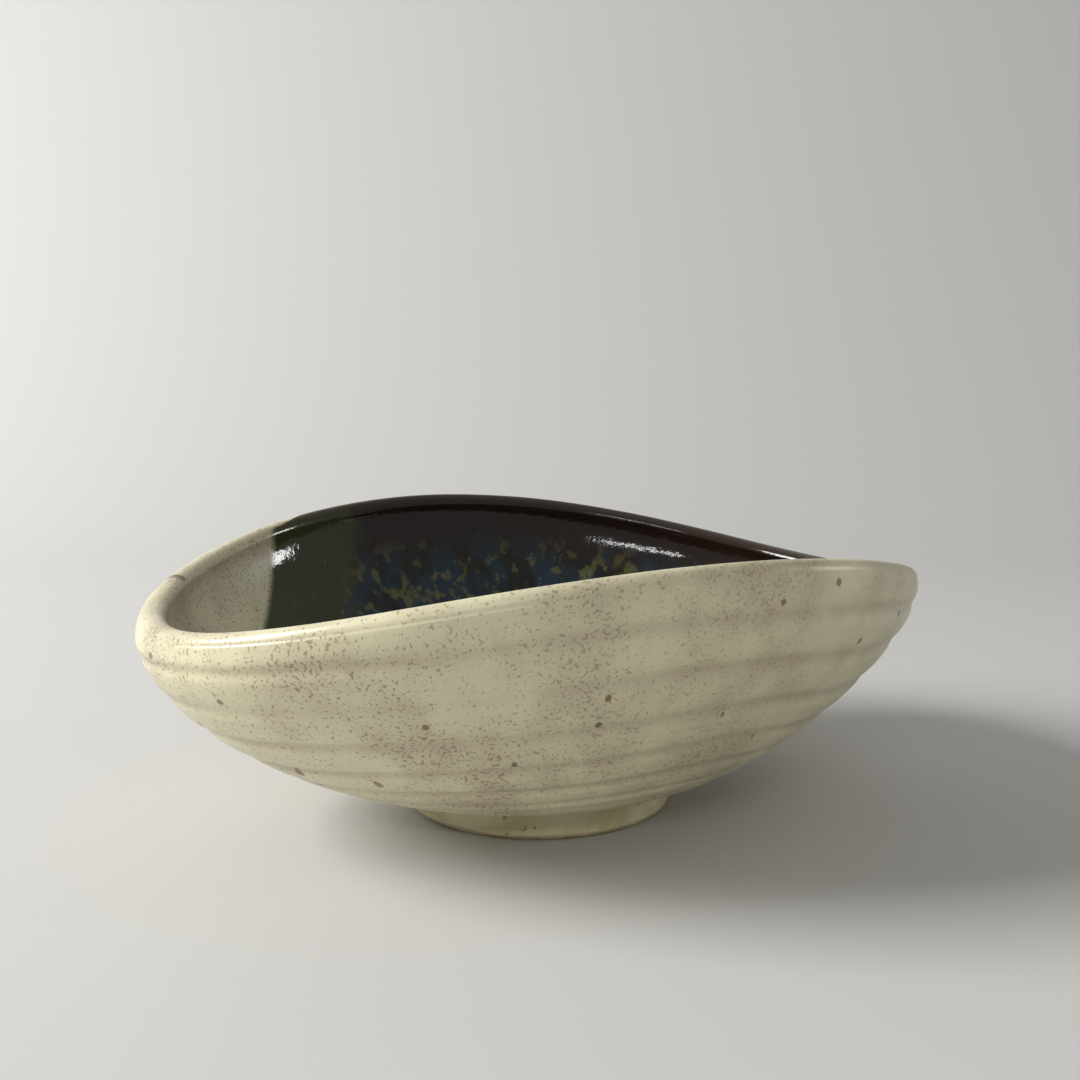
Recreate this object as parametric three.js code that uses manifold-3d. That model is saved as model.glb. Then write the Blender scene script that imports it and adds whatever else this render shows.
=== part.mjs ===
// A thrown stoneware bowl, pressed from round to oval, on a round foot ring.
// Millimetres, +Z up, long axis along X, origin under the middle of the bowl.
import * as THREE from 'three';
import { mergeVertices } from 'three/addons/utils/BufferGeometryUtils.js';
import Module from 'manifold-3d';

// Foot ring
const FOOT_RADIUS = 30;
const FOOT_NECK_RADIUS = 29.2;
const FOOT_HEIGHT = 6.9;
const FOOT_BASE_WIDTH = 5.5;
const FOOT_TOP_WIDTH = 7;
const FOOT_EDGE = 0.8;
const FOOT_SHIFT_X = -1.5;
const FOOT_SHIFT_Y = 0.4;

// Rim, measured to the middle of the rounded lip
const RIM_HALF_LENGTH = 86.5;
const RIM_HALF_WIDTH = 70;
const RIM_HEIGHT = 54;
const RIM_DIP = 7.2;
const LIP_RADIUS = 2.4;

// Wall of the thrown bowl, with the sizes of its curve
const WALL_START_RADIUS = 29.5;
const WALL = 4.8;
const FLOOR = 6;
const LOW_REACH = 27.6;
const BELLY_REACH = 2.6;
const BELLY_DROP = 10.8;
const END_FULLNESS = 1.6;

// Throwing rings, which lie closer together lower down
const RING_COUNT = 9;
const RING_DEPTH = 0.5;
const RING_SPREAD = 5.85;
const RING_START = 0.15;

// Glaze coats, with the clearance kept between pieces
const GLAZE = 0.6;
const SEAM_GAP = 0.3;
const GLAZE_EDGE_INSET = 0.9;
const DIP_LINE = 62;
const DIP_ANGLE = THREE.MathUtils.degToRad(27.6);

// Fineness of the faceted surfaces
const SEGMENTS = 36;
const INNER_STEPS = 8;
const LIP_STEPS = 4;

const WALL_START_HEIGHT = FOOT_HEIGHT + SEAM_GAP;
const ROUND_RADIUS = (RIM_HALF_LENGTH + RIM_HALF_WIDTH) / 2;
const CLAY_INSET = GLAZE + SEAM_GAP;
const CUTTER_SIZE = 4 * RIM_HALF_LENGTH;

const wasm = await Module();
wasm.setup();

const outerLine = new THREE.CubicBezierCurve(
  new THREE.Vector2(WALL_START_RADIUS, WALL_START_HEIGHT),
  new THREE.Vector2(WALL_START_RADIUS + LOW_REACH, WALL_START_HEIGHT),
  new THREE.Vector2(ROUND_RADIUS + LIP_RADIUS + BELLY_REACH, RIM_HEIGHT - BELLY_DROP),
  new THREE.Vector2(ROUND_RADIUS + LIP_RADIUS, RIM_HEIGHT),
);
const innerLine = new THREE.CubicBezierCurve(
  new THREE.Vector2(WALL_START_RADIUS, WALL_START_HEIGHT + FLOOR),
  new THREE.Vector2(WALL_START_RADIUS + LOW_REACH - WALL / 2, WALL_START_HEIGHT + FLOOR),
  new THREE.Vector2(ROUND_RADIUS + LIP_RADIUS + BELLY_REACH - WALL, RIM_HEIGHT - BELLY_DROP),
  new THREE.Vector2(ROUND_RADIUS - LIP_RADIUS, RIM_HEIGHT),
);

// A point of a wall line, moved into the clay square to the line
function intoClay(line, share, inset, side) {
  const point = line.getPoint(share);
  const along = line.getTangent(share);
  return new THREE.Vector2(point.x - side * along.y * inset, point.y + side * along.x * inset);
}

// The outside from the foot to the lip, with a groove and a crest for each throwing ring
function outsidePoints(inset) {
  const points = [intoClay(outerLine, 0, inset, 1)];
  for (let half = -2 * RING_COUNT; half <= 0; half += 1) {
    const share = Math.exp(half / 2 / RING_SPREAD) - RING_START;
    const ripple = (Math.cos(Math.PI * half) * RING_DEPTH) / 2;
    points.push(intoClay(outerLine, share, inset + ripple, 1));
  }
  points.push(intoClay(outerLine, (1 + Math.exp(0) - RING_START) / 2, inset, 1));
  return points;
}

// The round lip, from the outside to the inside
function lipPoints(inset) {
  const radius = LIP_RADIUS - inset;
  const points = [];
  for (let step = 0; step <= LIP_STEPS; step += 1) {
    const angle = (Math.PI * step) / LIP_STEPS;
    const across = ROUND_RADIUS + radius * Math.cos(angle);
    points.push(new THREE.Vector2(across, RIM_HEIGHT + radius * Math.sin(angle)));
  }
  return points;
}

// The inside from below the lip to the middle of the floor
function insidePoints(inset) {
  const points = [];
  for (let step = INNER_STEPS - 1; step >= 0; step -= 1) {
    points.push(intoClay(innerLine, step / INNER_STEPS, inset, -1));
  }
  points.push(new THREE.Vector2(0, WALL_START_HEIGHT + FLOOR - inset));
  return points;
}

function wholeFace(inset) {
  return [...outsidePoints(inset), ...lipPoints(inset), ...insidePoints(inset)];
}

// The round bowl is pressed oval: its rim dips at the ends and its foot stays round
function pressOval(geometry) {
  const position = geometry.attributes.position;
  for (let i = 0; i < position.count; i += 1) {
    const x = position.getX(i);
    const y = position.getY(i);
    const z = position.getZ(i);
    const radius = Math.hypot(x, y);
    const cosine = radius > 0 ? x / radius : 1;
    const sine = radius > 0 ? y / radius : 0;
    const twoFold = cosine * cosine - sine * sine;
    const spread = Math.max(0, (radius - WALL_START_RADIUS) / (ROUND_RADIUS - WALL_START_RADIUS));
    const rise = Math.max(0, (z - WALL_START_HEIGHT) / (RIM_HEIGHT - WALL_START_HEIGHT));
    const lean = Math.min(1, rise);
    const fuller = END_FULLNESS * twoFold * 4 * lean * (1 - lean) * Math.min(1, spread);
    const long = radius + spread * (RIM_HALF_LENGTH - ROUND_RADIUS) + fuller;
    const wide = radius + spread * (RIM_HALF_WIDTH - ROUND_RADIUS) + fuller;
    position.setXYZ(
      i,
      long * cosine + (1 - lean) * FOOT_SHIFT_X,
      wide * sine + (1 - lean) * FOOT_SHIFT_Y,
      z - rise * RIM_DIP * twoFold,
    );
  }
  return geometry;
}

// One closed skin with shared corners and no empty triangles
function closeSkin(geometry) {
  geometry.deleteAttribute('normal');
  geometry.deleteAttribute('uv');
  const merged = mergeVertices(geometry, 1e-4);
  const corners = merged.index.array;
  const kept = [];
  for (let i = 0; i < corners.length; i += 3) {
    const [a, b, c] = [corners[i], corners[i + 1], corners[i + 2]];
    if (a !== b && b !== c && c !== a) kept.push(a, b, c);
  }
  merged.setIndex(kept);
  return merged;
}

// A profile is thrown round about the upright axis, then pressed oval
function throwAndPress(profile) {
  const thrown = new THREE.LatheGeometry(profile, SEGMENTS);
  thrown.rotateX(Math.PI / 2);
  return pressOval(closeSkin(thrown));
}

function toSolid(geometry) {
  return new wasm.Manifold(new wasm.Mesh({
    numProp: 3,
    vertProperties: new Float32Array(geometry.attributes.position.array),
    triVerts: new Uint32Array(geometry.index.array),
  }));
}

function toGeometry(solid) {
  const mesh = solid.getMesh();
  const geometry = new THREE.BufferGeometry();
  geometry.setAttribute('position', new THREE.BufferAttribute(mesh.vertProperties, 3));
  geometry.setIndex(new THREE.BufferAttribute(mesh.triVerts, 1));
  return geometry;
}

function namedPiece(name, geometry, color, roughness) {
  geometry.computeVertexNormals();
  const material = new THREE.MeshStandardMaterial({ color, roughness, metalness: 0 });
  const piece = new THREE.Mesh(geometry, material);
  piece.name = name;
  return piece;
}

// The clay wall with its floor, without glaze
function bowlWall() {
  const profile = [
    new THREE.Vector2(0, WALL_START_HEIGHT),
    new THREE.Vector2(WALL_START_RADIUS - SEAM_GAP, WALL_START_HEIGHT),
    ...wholeFace(CLAY_INSET),
  ];
  return throwAndPress(profile);
}

// The foot ring tapers a little and has a flat edge to stand on
function footRing() {
  const baseInner = FOOT_RADIUS - FOOT_BASE_WIDTH;
  const profile = [
    new THREE.Vector2(baseInner + FOOT_EDGE, 0),
    new THREE.Vector2(FOOT_RADIUS - FOOT_EDGE, 0),
    new THREE.Vector2(FOOT_RADIUS, FOOT_EDGE),
    new THREE.Vector2(FOOT_NECK_RADIUS, FOOT_HEIGHT),
    new THREE.Vector2(FOOT_NECK_RADIUS - FOOT_TOP_WIDTH, FOOT_HEIGHT),
    new THREE.Vector2(baseInner, FOOT_EDGE),
    new THREE.Vector2(baseInner + FOOT_EDGE, 0),
  ];
  return throwAndPress(profile);
}

// The room that the dark glaze was poured into: inside the lip, past the dip line
function pouredRoom(grow) {
  const wallPoints = [];
  for (let step = 0; step <= INNER_STEPS; step += 1) {
    wallPoints.push(intoClay(innerLine, step / INNER_STEPS, CLAY_INSET + SEAM_GAP, -1));
  }
  const edge = ROUND_RADIUS - GLAZE_EDGE_INSET + grow;
  const top = RIM_HEIGHT + 5 * LIP_RADIUS;
  const profile = [
    new THREE.Vector2(0, WALL_START_HEIGHT + FLOOR - CLAY_INSET - SEAM_GAP),
    ...wallPoints,
    new THREE.Vector2(edge, RIM_HEIGHT + SEAM_GAP),
    new THREE.Vector2(edge, top),
    new THREE.Vector2(0, top),
  ];
  const room = toSolid(throwAndPress(profile));
  const half = new THREE.BoxGeometry(CUTTER_SIZE, CUTTER_SIZE, CUTTER_SIZE);
  half.translate(CUTTER_SIZE / 2 - DIP_LINE - grow, 0, 0);
  half.rotateZ(-DIP_ANGLE);
  return room.intersect(toSolid(closeSkin(half)));
}

// The whole glaze skin, outside, over the lip and inside
function glazeSkin() {
  const profile = [
    ...wholeFace(GLAZE).reverse(),
    ...wholeFace(0),
  ];
  return toSolid(throwAndPress(profile));
}

const glaze = glazeSkin();
const bowl = new THREE.Group();
bowl.add(namedPiece('bowl_wall', bowlWall(), 0xb9ad92, 0.8));
bowl.add(namedPiece('foot_ring', footRing(), 0xc9bf9f, 0.7));
bowl.add(namedPiece('cream_glaze_coat', toGeometry(glaze.subtract(pouredRoom(SEAM_GAP))), 0xcfc8a2, 0.3));
bowl.add(namedPiece('dark_glaze_coat', toGeometry(glaze.intersect(pouredRoom(0))), 0x1b1d14, 0.15));

export default bowl;
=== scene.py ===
import math
import bpy
import numpy as np
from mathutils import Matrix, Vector, noise


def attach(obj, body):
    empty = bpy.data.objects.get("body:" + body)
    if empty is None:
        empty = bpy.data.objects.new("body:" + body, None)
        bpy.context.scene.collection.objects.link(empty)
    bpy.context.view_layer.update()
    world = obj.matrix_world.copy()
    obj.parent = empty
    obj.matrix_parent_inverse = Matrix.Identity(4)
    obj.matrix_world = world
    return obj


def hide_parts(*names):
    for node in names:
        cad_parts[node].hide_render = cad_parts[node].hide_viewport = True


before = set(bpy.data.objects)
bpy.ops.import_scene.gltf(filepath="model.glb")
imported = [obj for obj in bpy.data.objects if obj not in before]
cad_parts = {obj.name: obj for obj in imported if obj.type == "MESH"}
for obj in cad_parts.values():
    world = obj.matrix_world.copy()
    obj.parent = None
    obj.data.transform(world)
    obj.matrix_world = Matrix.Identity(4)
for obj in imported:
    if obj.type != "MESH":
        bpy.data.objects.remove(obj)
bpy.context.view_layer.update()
mm = 0.001

# the thrown shape, before the bowl is pressed oval (sizes in mm)
bowl = {
    "rimHalfLength": 86.5, "rimHalfWidth": 70, "rimHeight": 54, "rimDip": 7.2, "lip": 2.4,
    "startRadius": 29.5, "startHeight": 7.2, "wall": 4.8, "floor": 6, "lowReach": 27.6,
    "bellyReach": 2.6, "bellyDrop": 10.8, "endFullness": 1.6, "footShift": (-1.5, 0.4),
    "ringDepth": 0.8, "ringSpread": 5.85, "ringStart": 0.15,
    "glaze": 0.6, "edgeInset": 0.9, "turnSteps": 256,
    "wobble": 0.16, "wobbleSize": 24, "wobbleCore": 20,    # how the hand-made surface wanders
}
# how the throwing rings wander, and fade out toward the lip and the foot
ringMarks = {
    "size": 30, "drift": 0.16, "strength": 0.75, "change": 0.7, "sharpness": 3,
    "crest": 0.5, "groove": 1.5, "lastShare": 0.97, "lipFade": 0.12, "footFade": 0.06,
}
roundRadius = (bowl["rimHalfLength"] + bowl["rimHalfWidth"]) / 2
edgeAngle = math.acos(-bowl["edgeInset"] / bowl["lip"])    # where the two coats meet on the lip
viewTurn = math.radians(27.6)    # the long axis is turned this far from the picture's plane


# curves of the wall
def bezier(points, share):
    a, b, c, d = [np.array(point, float) for point in points]
    rest = 1 - share
    place = rest**3 * a + 3 * rest**2 * share * b + 3 * rest * share**2 * c + share**3 * d
    along = rest**2 * (b - a) + 2 * rest * share * (c - b) + share**2 * (d - c)
    return place, along / np.linalg.norm(along)


def wallLines():
    start, high = bowl["startRadius"], bowl["startHeight"] + bowl["floor"]
    mouth, belly = roundRadius + bowl["lip"], bowl["rimHeight"] - bowl["bellyDrop"]
    outer = [(start, bowl["startHeight"]), (start + bowl["lowReach"], bowl["startHeight"]),
             (mouth + bowl["bellyReach"], belly), (mouth, bowl["rimHeight"])]
    inner = [(start, high), (start + bowl["lowReach"] - bowl["wall"] / 2, high),
             (mouth + bowl["bellyReach"] - bowl["wall"], belly),
             (roundRadius - bowl["lip"], bowl["rimHeight"])]
    return outer, inner


outerLine, innerLine = wallLines()


def linePoints(line, inset, side, steps, first=0.0, last=1.0):
    made = []
    for share in np.linspace(first, last, steps):
        place, along = bezier(line, share)
        made.append((place[0] - side * along[1] * inset, place[1] + side * along[0] * inset))
    return made


def lipPoints(inset, fromAngle, toAngle, steps):
    reach = bowl["lip"] - inset
    return [(roundRadius + reach * math.cos(angle), bowl["rimHeight"] + reach * math.sin(angle))
            for angle in np.linspace(fromAngle, toAngle, steps)]


# modelling, as on the wheel
def turnOnWheel(name, profile, steps):
    bpy.ops.object.select_all(action="DESELECT")
    bpy.ops.mesh.primitive_plane_add(size=mm, location=(0, 0, 0))
    piece = bpy.context.object
    piece.name = name
    bpy.ops.object.mode_set(mode="EDIT")
    bpy.ops.mesh.select_all(action="SELECT")
    bpy.ops.mesh.merge(type="CENTER")
    bpy.ops.transform.translate(value=(profile[0][0] * mm, 0, profile[0][1] * mm))
    for before, after in zip(profile, profile[1:]):
        step = ((after[0] - before[0]) * mm, 0, (after[1] - before[1]) * mm)
        bpy.ops.mesh.extrude_region_move(TRANSFORM_OT_translate={"value": step})
    bpy.ops.mesh.select_all(action="SELECT")
    bpy.ops.mesh.spin(steps=steps, angle=2 * math.pi, center=(0, 0, 0), axis=(0, 0, 1))
    bpy.ops.mesh.select_all(action="SELECT")
    bpy.ops.mesh.remove_doubles(threshold=0.01 * mm)
    bpy.ops.mesh.normals_make_consistent(inside=False)
    bpy.ops.object.mode_set(mode="OBJECT")
    return piece


def places(piece):
    points = np.empty(len(piece.data.vertices) * 3)
    piece.data.vertices.foreach_get("co", points)
    return points.reshape(-1, 3) / mm


# gives each point its way from the lip's crest (outside above 0), its ring and its height
def markThrown(piece):
    points = places(piece)
    radius = np.hypot(points[:, 0], points[:, 1])
    shares = np.linspace(0, 1, 400)
    outer = np.array([bezier(outerLine, share)[0] for share in shares])
    inner = np.array([bezier(innerLine, share)[0] for share in shares])
    outerGrow = np.maximum.accumulate(outer[:, 0]) + shares * 1e-6
    innerGrow = np.maximum.accumulate(inner[:, 0]) + shares * 1e-6
    outerShare = np.interp(radius, outerGrow, shares)
    innerHeight = np.interp(radius, innerGrow, inner[:, 1])
    outerHeight = np.interp(outerShare, shares, outer[:, 1])
    height = points[:, 2]
    isLip = height >= bowl["rimHeight"] - 0.01
    isOuter = ~isLip & (np.abs(height - outerHeight) < np.abs(height - innerHeight))
    isOuter |= ~isLip & (radius > roundRadius)
    angle = np.arctan2(height - bowl["rimHeight"], radius - roundRadius)
    quarter = bowl["lip"] * math.pi / 2
    along = np.where(isOuter, quarter + bowl["rimHeight"] - height,
                     height - bowl["rimHeight"] - quarter)
    along = np.where(isLip, bowl["lip"] * (math.pi / 2 - angle), along)
    turn = bowl["ringSpread"] * np.log(np.maximum(outerShare, 0) + bowl["ringStart"])
    marks = ringMarks
    fade = np.clip((marks["lastShare"] - outerShare) / marks["lipFade"], 0, 1)
    fade = fade * np.clip(outerShare / marks["footFade"], 0, 1)
    onFace = isOuter & (radius > bowl["startRadius"] + 0.2)
    rings = np.zeros(len(points))
    for i in np.nonzero(onFace)[0]:
        x, y, z = points[i] / marks["size"]
        drift = marks["drift"] * noise.noise(Vector((x, y, z * 0.4)))
        change = marks["change"] * noise.noise(Vector((x * 0.8 + 7, y * 0.8, z * 2.5)))
        wave = 0.5 + 0.5 * math.cos(2 * math.pi * (turn[i] + drift))
        depth = marks["crest"] - marks["groove"] * wave ** marks["sharpness"]
        rings[i] = depth * (marks["strength"] + change) * fade[i]
    mark = piece.data.attributes.new("thrown", "FLOAT_VECTOR", "POINT")
    values = np.stack([along * mm, rings, height * mm], 1)
    mark.data.foreach_set("vector", values.ravel())
    return onFace, rings, outerShare


# the rings go into the face first, then the round piece is pressed oval and made uneven
def pressOval(piece, onFace=None, rings=None, outerShare=None):
    points = places(piece)
    if onFace is not None:
        for i in np.nonzero(onFace)[0]:
            along = bezier(outerLine, min(1, outerShare[i]))[1]
            radius = math.hypot(points[i, 0], points[i, 1])
            push = rings[i] * bowl["ringDepth"] / 2
            points[i, :2] *= 1 + along[1] * push / radius
            points[i, 2] -= along[0] * push
    radius = np.hypot(points[:, 0], points[:, 1])
    safe = np.maximum(radius, 1e-9)
    cosine, sine = points[:, 0] / safe, points[:, 1] / safe
    twoFold = cosine**2 - sine**2
    spread = np.maximum(0, (radius - bowl["startRadius"]) / (roundRadius - bowl["startRadius"]))
    span = bowl["rimHeight"] - bowl["startHeight"]
    rise = np.maximum(0, (points[:, 2] - bowl["startHeight"]) / span)
    lean = np.minimum(1, rise)
    fuller = bowl["endFullness"] * twoFold * 4 * lean * (1 - lean) * np.minimum(1, spread)
    points[:, 0] = (radius + spread * (bowl["rimHalfLength"] - roundRadius) + fuller) * cosine
    points[:, 1] = (radius + spread * (bowl["rimHalfWidth"] - roundRadius) + fuller) * sine
    points[:, 2] -= rise * bowl["rimDip"] * twoFold
    points[:, 0] += (1 - lean) * bowl["footShift"][0]
    points[:, 1] += (1 - lean) * bowl["footShift"][1]
    for i in range(len(points)):
        uneven = noise.noise(Vector(points[i] / bowl["wobbleSize"]))
        pull = bowl["wobble"] * lean[i] * (uneven - 1) / 2
        points[i, :2] *= 1 + pull / max(radius[i], bowl["wobbleCore"])
        points[i, 2] += pull
    piece.data.vertices.foreach_set("co", (points * mm).ravel())
    piece.data.update()


def smooth(piece, degrees):
    bpy.ops.object.select_all(action="DESELECT")
    piece.select_set(True)
    bpy.context.view_layer.objects.active = piece
    bpy.ops.object.shade_smooth_by_angle(angle=math.radians(degrees))


# shader maths
class Wire:
    def __init__(self, tree, socket):
        self.tree = tree
        self.socket = socket

    def maths(self, operation, first, second):
        node = self.tree.nodes.new("ShaderNodeMath")
        node.operation = operation
        for entry, value in zip(node.inputs, (first, second)):
            if isinstance(value, Wire):
                self.tree.links.new(value.socket, entry)
            else:
                entry.default_value = value
        return Wire(self.tree, node.outputs[0])

    def __add__(self, other):
        return self.maths("ADD", self, other)

    def __radd__(self, other):
        return self.maths("ADD", other, self)

    def __sub__(self, other):
        return self.maths("SUBTRACT", self, other)

    def __rsub__(self, other):
        return self.maths("SUBTRACT", other, self)

    def __mul__(self, other):
        return self.maths("MULTIPLY", self, other)

    def __rmul__(self, other):
        return self.maths("MULTIPLY", other, self)


class Finish:
    def __init__(self, name):
        self.material = bpy.data.materials.new(name)
        self.material.use_nodes = True
        self.tree = self.material.node_tree
        self.shader = self.tree.nodes["Principled BSDF"]

    def node(self, kind, settings, values, output=0):
        made = self.tree.nodes.new(kind)
        for key, value in settings.items():
            setattr(made, key, value)
        for key, value in values.items():
            if isinstance(value, Wire):
                self.tree.links.new(value.socket, made.inputs[key])
            else:
                made.inputs[key].default_value = value
        return Wire(self.tree, made.outputs[output])

    def split(self, vector):
        made = self.tree.nodes.new("ShaderNodeSeparateXYZ")
        self.tree.links.new(vector.socket, made.inputs[0])
        return [Wire(self.tree, socket) for socket in made.outputs]

    def fade(self, value, low, high):
        return self.node("ShaderNodeMapRange", {"interpolation_type": "SMOOTHSTEP"},
                         {"Value": value, "From Min": low, "From Max": high})

    def cloud(self, vector, scale, detail=3.0):
        return self.node("ShaderNodeTexNoise", {},
                         {"Vector": vector, "Scale": scale, "Detail": detail})

    def stretched(self, vector, scale):
        return self.node("ShaderNodeMapping", {}, {"Vector": vector, "Scale": scale})

    def blend(self, share, first, second):
        return self.node("ShaderNodeMix", {"data_type": "RGBA"}, {0: share, 6: first, 7: second}, 2)

    def feed(self, name, value):
        self.tree.links.new(value.socket, self.shader.inputs[name])


def tint(red, green, blue):
    parts = [part / 255 for part in (red, green, blue)]
    return [part / 12.92 if part <= 0.04045 else ((part + 0.055) / 1.055) ** 2.4
            for part in parts] + [1.0]


# glazes and clay (lengths in metres, paired where something fades from one to the other)
noiseScale = {
    "broad": 45, "middle": 170, "fine": 900, "dust": 1500, "spots": 62, "runs": 150,
    "blotch": 330, "clay": 1400, "clayBroad": 120, "dots": 520,
}
clayLook = {
    "clay": tint(196, 184, 154), "clayDeep": tint(158, 142, 108), "coat": tint(226, 218, 180),
    "coatDeep": tint(204, 194, 148), "dots": tint(110, 84, 46), "edgeSoft": 0.0003,
}
glazeLook = {
    "cream": tint(218, 212, 178), "creamDeep": tint(192, 180, 152), "speck": tint(104, 80, 50),
    "spotBrown": tint(122, 78, 40), "spotGrey": tint(84, 80, 70),
    "black": tint(18, 19, 15), "brown": tint(32, 20, 15), "olive": tint(60, 64, 34),
    "moss": tint(104, 100, 54), "teal": tint(24, 50, 64), "lap": tint(62, 52, 42),
    "dipLine": -0.0675, "dipSoft": 0.0008, "oliveEnd": -0.048, "oliveSoft": 0.004,
    "lapStart": -0.0014, "lapWidth": 0.0042, "lapSoft": 0.0005,
    "lapDepth": (-0.004, 0.014), "lapLeft": (-0.066, -0.058), "lapRight": (0.077, 0.085),
    "mottleLow": (0.016, 0.03), "mottleHigh": (0.05, 0.036), "brownFrom": (0.036, 0.05),
    "meanRadius": 0.07, "ior": 1.52,
}


def glazeFinish(name):
    look = glazeLook
    finish = Finish(name)
    place = finish.node("ShaderNodeTexCoord", {}, {}, 3)
    x, y = finish.split(place)[:2]
    thrown = finish.node("ShaderNodeAttribute", {"attribute_name": "thrown"}, {}, 1)
    along, ring, height = finish.split(thrown)
    across = x * math.cos(viewTurn) - y * math.sin(viewTurn)
    depth = x * math.sin(viewTurn) + y * math.cos(viewTurn)
    broad = finish.cloud(place, noiseScale["broad"])
    middle = finish.cloud(place, noiseScale["middle"])
    fine = finish.cloud(place, noiseScale["fine"], 2)

    # cream with random tone, painted shade in the ring grooves, iron specks and a few spots
    # random tone from the clouds, plus painted shade where the ring term dips into a groove
    toneAndGrooveShade = finish.fade(broad + 0.35 * middle - 0.14 * ring, 0.45, 0.95)
    cream = finish.blend(toneAndGrooveShade, look["cream"], look["creamDeep"])
    # painted shade: the ring grooves darkened once more
    cream = finish.blend(0.22 * finish.fade(0 - ring, 0.1, 0.9), cream, look["creamDeep"])
    dust = finish.cloud(place, noiseScale["dust"], 2)
    leftward = finish.fade(0.07 - across + 0.1 * broad, 0.0, 0.16)
    smallSpecks = finish.fade(dust + 0.3 * (broad - 0.5), 0.58, 0.66)
    cream = finish.blend(0.55 * leftward * smallSpecks, cream, look["speck"])
    largeSpecks = finish.fade(fine + 0.2 * (middle - 0.5), 0.66, 0.72)
    cream = finish.blend(0.5 * leftward * largeSpecks, cream, look["speck"])

    # spots lie on the unrolled wall: distance round the bowl, then height
    turn = finish.node("ShaderNodeMath", {"operation": "ARCTAN2"}, {0: y, 1: x})
    unrolled = finish.node("ShaderNodeCombineXYZ", {}, {0: turn * look["meanRadius"], 1: height})
    spots = finish.tree.nodes.new("ShaderNodeTexVoronoi")
    spots.voronoi_dimensions = "2D"
    spots.inputs["Scale"].default_value = noiseScale["spots"]
    finish.tree.links.new(unrolled.socket, spots.inputs["Vector"])
    near = Wire(finish.tree, spots.outputs["Distance"])
    chance, kind, size = finish.split(Wire(finish.tree, spots.outputs["Color"]))
    spot = finish.fade(0.03 + 0.05 * size + 0.05 * (middle - 0.5) - near, 0.0, 0.02)
    spot = spot * finish.fade(chance, 0.62, 0.64)
    spotColour = finish.blend(finish.fade(kind, 0.45, 0.55), look["spotBrown"], look["spotGrey"])
    cream = finish.blend(0.8 * spot, cream, spotColour)

    # dark, with olive by the dip line and mottling half way up
    runs = finish.cloud(finish.stretched(place, (1.0, 1.0, 0.3)), noiseScale["runs"], 4)
    band = finish.fade(height, *look["mottleLow"]) * finish.fade(height, *look["mottleHigh"])
    dark = finish.blend(finish.fade(height, *look["brownFrom"]), look["black"], look["brown"])
    blotch = finish.cloud(finish.stretched(place, (1.0, 1.0, 0.7)), noiseScale["blotch"], 3)
    dark = finish.blend(0.9 * band * finish.fade(runs, 0.42, 0.56), dark, look["teal"])
    mossy = finish.fade(blotch + 0.4 * (broad - 0.5), 0.52, 0.64)
    dark = finish.blend(0.8 * band * mossy, dark, look["moss"])
    oliveStart = look["oliveEnd"] - look["oliveSoft"]
    olive = 1 - finish.fade(across + 0.01 * (middle - 0.5), oliveStart, look["oliveEnd"])
    dark = finish.blend(0.85 * olive, dark, look["olive"])
    sheen = finish.fade(along, -0.004, -0.001)
    dark = finish.blend(0.75 * sheen, dark, look["lap"])

    # where the dark glaze lies
    wander = 0.0022 * (middle - 0.5) + 0.002 * (broad - 0.5)
    lap = finish.fade(depth, *look["lapDepth"]) * finish.fade(across, *look["lapLeft"])
    lap = lap * (1 - finish.fade(across, *look["lapRight"]))
    edge = look["lapStart"] + look["lapWidth"] * lap + wander
    poured = finish.fade(edge - along, -look["lapSoft"], look["lapSoft"])
    dipStart, dipEnd = look["dipLine"] - look["dipSoft"], look["dipLine"] + look["dipSoft"]
    poured = poured * finish.fade(across + 0.4 * wander, dipStart, dipEnd)
    finish.feed("Base Color", finish.blend(poured, cream, dark))
    finish.feed("Roughness", 0.34 + 0.12 * (middle - 0.5) - 0.26 * poured + 0.16 * poured * sheen)
    finish.shader.inputs["IOR"].default_value = look["ior"]
    relief = 0.6 * middle + 0.25 * fine + 0.8 * runs * poured - 0.2 * spot
    bump = finish.node("ShaderNodeBump", {}, {"Strength": 0.35, "Distance": 0.0004, "Height": relief})
    finish.feed("Normal", bump)
    return finish.material


# bare clay, with thin glaze from a height up
def clayFinish(name, glazedFrom):
    look = clayLook
    finish = Finish(name)
    place = finish.node("ShaderNodeTexCoord", {}, {}, 3)
    height = finish.split(place)[2]
    grain = finish.cloud(place, noiseScale["clay"], 2)
    broad = finish.cloud(place, noiseScale["clayBroad"])
    clay = finish.blend(finish.fade(broad + 0.5 * grain, 0.5, 1.0), look["clay"], look["clayDeep"])
    glazed = finish.fade(height + 0.0012 * (broad - 0.5),
                         glazedFrom - look["edgeSoft"], glazedFrom + look["edgeSoft"])
    coat = finish.blend(finish.fade(broad, 0.35, 0.7), look["coat"], look["coatDeep"])
    dots = finish.fade(finish.cloud(place, noiseScale["dots"], 2), 0.66, 0.72)
    coat = finish.blend(0.6 * dots, coat, look["dots"])
    finish.feed("Base Color", finish.blend(glazed, clay, coat))
    finish.feed("Roughness", 0.85 - 0.48 * glazed)
    relief = grain + broad
    bump = finish.node("ShaderNodeBump", {}, {"Strength": 0.4, "Distance": 0.0003, "Height": relief})
    finish.feed("Normal", bump)
    return finish.material


# pieces: how many points each part of a profile has
creamSteps = {"face": 190, "lip": 16, "backLip": 8, "back": 20}
darkSteps = {"floor": 20, "face": 90, "lip": 8, "backLip": 6, "back": 20}


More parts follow.
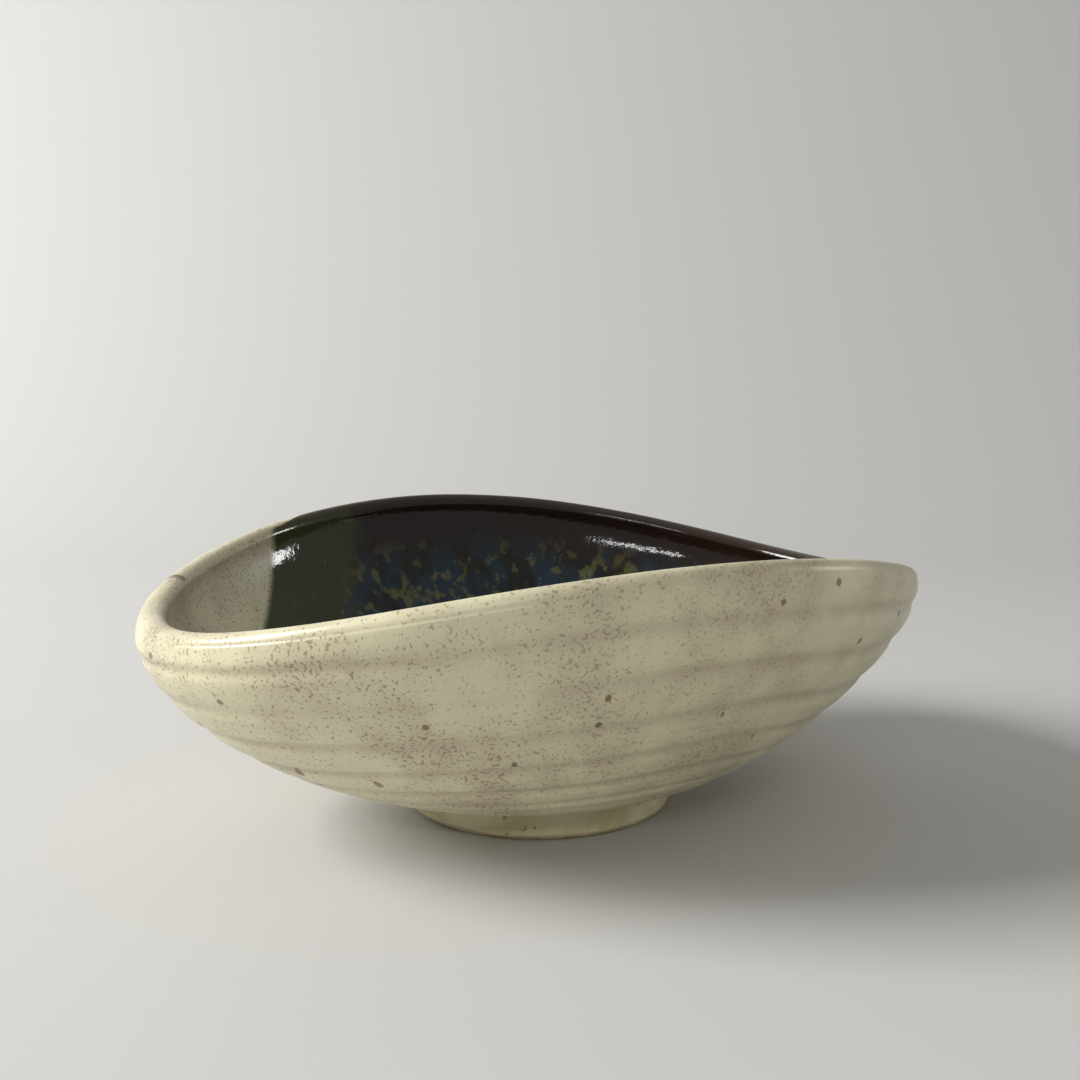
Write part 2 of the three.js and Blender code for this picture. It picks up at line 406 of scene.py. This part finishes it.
def creamGlazeCoat():
    face = linePoints(outerLine, 0, 1, creamSteps["face"])
    face += lipPoints(0, 0, edgeAngle, creamSteps["lip"])[1:]
    back = lipPoints(bowl["glaze"], edgeAngle, 0, creamSteps["backLip"])
    back += linePoints(outerLine, bowl["glaze"], 1, creamSteps["back"], 1, 0)[1:]
    piece = turnOnWheel("cream_glaze", face + back + [face[0]], bowl["turnSteps"])
    pressOval(piece, *markThrown(piece))
    smooth(piece, 50)
    piece.data.materials.append(glazeFinish("creamGlaze"))
    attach(piece, "root")
    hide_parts("cream_glaze_coat")


def darkGlazeCoat():
    level = bowl["startHeight"] + bowl["floor"]
    face = [(radius, level) for radius in np.linspace(0, bowl["startRadius"], darkSteps["floor"])]
    face += linePoints(innerLine, 0, -1, darkSteps["face"])[1:]
    face += lipPoints(0, math.pi, edgeAngle, darkSteps["lip"])[1:]
    back = lipPoints(bowl["glaze"], edgeAngle, math.pi, darkSteps["backLip"])
    back += linePoints(innerLine, bowl["glaze"], -1, darkSteps["back"], 1, 0)[1:]
    back += [(0, level - bowl["glaze"])]
    piece = turnOnWheel("dark_glaze", face + back, bowl["turnSteps"])
    markThrown(piece)
    pressOval(piece)
    smooth(piece, 50)
    piece.data.materials.append(glazeFinish("darkGlaze"))
    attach(piece, "root")
    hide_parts("dark_glaze_coat")


foot = {
    "radius": 30, "neck": 29.2, "height": 6.9, "baseWidth": 5.5, "topWidth": 7, "edge": 0.8,
    "bevel": 0.3, "bevelSteps": 3, "bevelFrom": 25, "glazedFrom": 0.0012,
}


def footRing():
    inner = foot["radius"] - foot["baseWidth"]
    profile = [
        (inner + foot["edge"], 0), (foot["radius"] - foot["edge"], 0), (foot["radius"], foot["edge"]),
        (foot["neck"], foot["height"]), (foot["neck"] - foot["topWidth"], foot["height"]),
        (inner, foot["edge"]), (inner + foot["edge"], 0),
    ]
    piece = turnOnWheel("foot", profile, bowl["turnSteps"])
    pressOval(piece)
    bevel = piece.modifiers.new("roundedEdges", "BEVEL")
    bevel.width = foot["bevel"] * mm
    bevel.segments = foot["bevelSteps"]
    bevel.angle_limit = math.radians(foot["bevelFrom"])
    bpy.ops.object.modifier_apply(modifier="roundedEdges")
    smooth(piece, 50)
    piece.data.materials.append(clayFinish("footGlaze", foot["glazedFrom"]))
    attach(piece, "root")
    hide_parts("foot_ring")


creamGlazeCoat()
print("cream glaze done")
darkGlazeCoat()
print("dark glaze done")
footRing()
print("foot done")
# the clay wall between the coats stays as the frame has it, bare all the way up
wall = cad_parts["bowl_wall"]
wall.data.materials.clear()
wall.data.materials.append(clayFinish("bareClay", 1.0))

# stage, in metres: a pale sweep and three lamps, placed as seen from the photo's side
stage = {
    "reach": 1.6, "backEdge": 0.75, "rise": 1.4, "bend": 0.4, "bendSteps": 24,
    "tint": tint(198, 197, 194), "air": (0.29, 0.29, 0.285, 1),
}
lamps = {
    "keyWindow": {"place": (-1.1, -0.1, 0.75), "aim": (0, 0, 0.03), "size": (0.55, 0.6), "power": 22},
    "frontStrip": {"place": (-0.15, -1.05, 0.62), "aim": (0, 0, 0.05), "size": (0.6, 0.04),
                   "power": 1.6},
    "rightCard": {"place": (0.95, 0.1, 0.25), "aim": (0, 0, 0.05), "size": (0.1, 0.16), "power": 0.9},
}
# the camera that a fit of the photo's outline gave: mm, degrees and pixels
camera = {
    "distance": 308.09, "elevation": 18.73, "tilt": 7.64, "swing": 0.08,
    "focal": 1300, "frame": 1080, "nearest": 10,
}


def turned(x, y, z):
    c, s = math.cos(-viewTurn), math.sin(-viewTurn)
    return Vector((x * c - y * s, x * s + y * c, z))


def makeSweep():
    bpy.ops.object.select_all(action="DESELECT")
    bpy.ops.mesh.primitive_plane_add(size=2 * stage["reach"], location=(0, 0, 0))
    sweep = bpy.context.object
    sweep.name = "sweep"
    for vertex in sweep.data.vertices:
        vertex.co.y = min(vertex.co.y, stage["backEdge"])
    bpy.ops.object.mode_set(mode="EDIT")
    bpy.ops.mesh.select_mode(type="EDGE")
    bpy.ops.mesh.select_all(action="DESELECT")
    bpy.ops.object.mode_set(mode="OBJECT")
    for edge in sweep.data.edges:
        edge.select = all(sweep.data.vertices[i].co.y > 0 for i in edge.vertices)
    bpy.ops.object.mode_set(mode="EDIT")
    bpy.ops.mesh.extrude_region_move(TRANSFORM_OT_translate={"value": (0, 0, stage["rise"])})
    bpy.ops.object.mode_set(mode="OBJECT")
    bend = sweep.modifiers.new("roundCorner", "BEVEL")
    bend.width = stage["bend"]
    bend.segments = stage["bendSteps"]
    bpy.ops.object.modifier_apply(modifier="roundCorner")
    smooth(sweep, 60)
    sweep.rotation_euler.z = -viewTurn
    finish = Finish("paleSweep")
    finish.shader.inputs["Base Color"].default_value = stage["tint"]
    finish.shader.inputs["Roughness"].default_value = 0.8
    sweep.data.materials.append(finish.material)


def areaLamp(name, place, aim, size, power):
    bpy.ops.object.light_add(type="AREA", location=turned(*place))
    lamp = bpy.context.object
    lamp.name = name
    lamp.data.shape = "RECTANGLE"
    lamp.data.size, lamp.data.size_y = size
    lamp.data.energy = power
    lamp.rotation_euler = (turned(*aim) - lamp.location).to_track_quat("-Z", "Y").to_euler()


makeSweep()
for name, lamp in lamps.items():
    areaLamp(name, **lamp)
world = bpy.data.worlds.new("studio")
bpy.context.scene.world = world
world.use_nodes = True
world.node_tree.nodes["Background"].inputs["Color"].default_value = stage["air"]

lift = math.radians(camera["elevation"])
reach = camera["distance"] * mm
bpy.ops.object.camera_add(location=turned(0, -reach * math.cos(lift), reach * math.sin(lift))
                          + Vector((bowl["footShift"][0] * mm, bowl["footShift"][1] * mm, 0)))
eye = bpy.context.object
eye.rotation_euler = (math.radians(90 - camera["tilt"]), 0, -viewTurn - math.radians(camera["swing"]))
eye.data.sensor_fit = "HORIZONTAL"
eye.data.lens = eye.data.sensor_width * camera["focal"] / camera["frame"]
eye.data.clip_start = camera["nearest"] * mm
bpy.context.scene.camera = eye
bpy.context.scene.view_settings.view_transform = "Standard"
print("stage done")
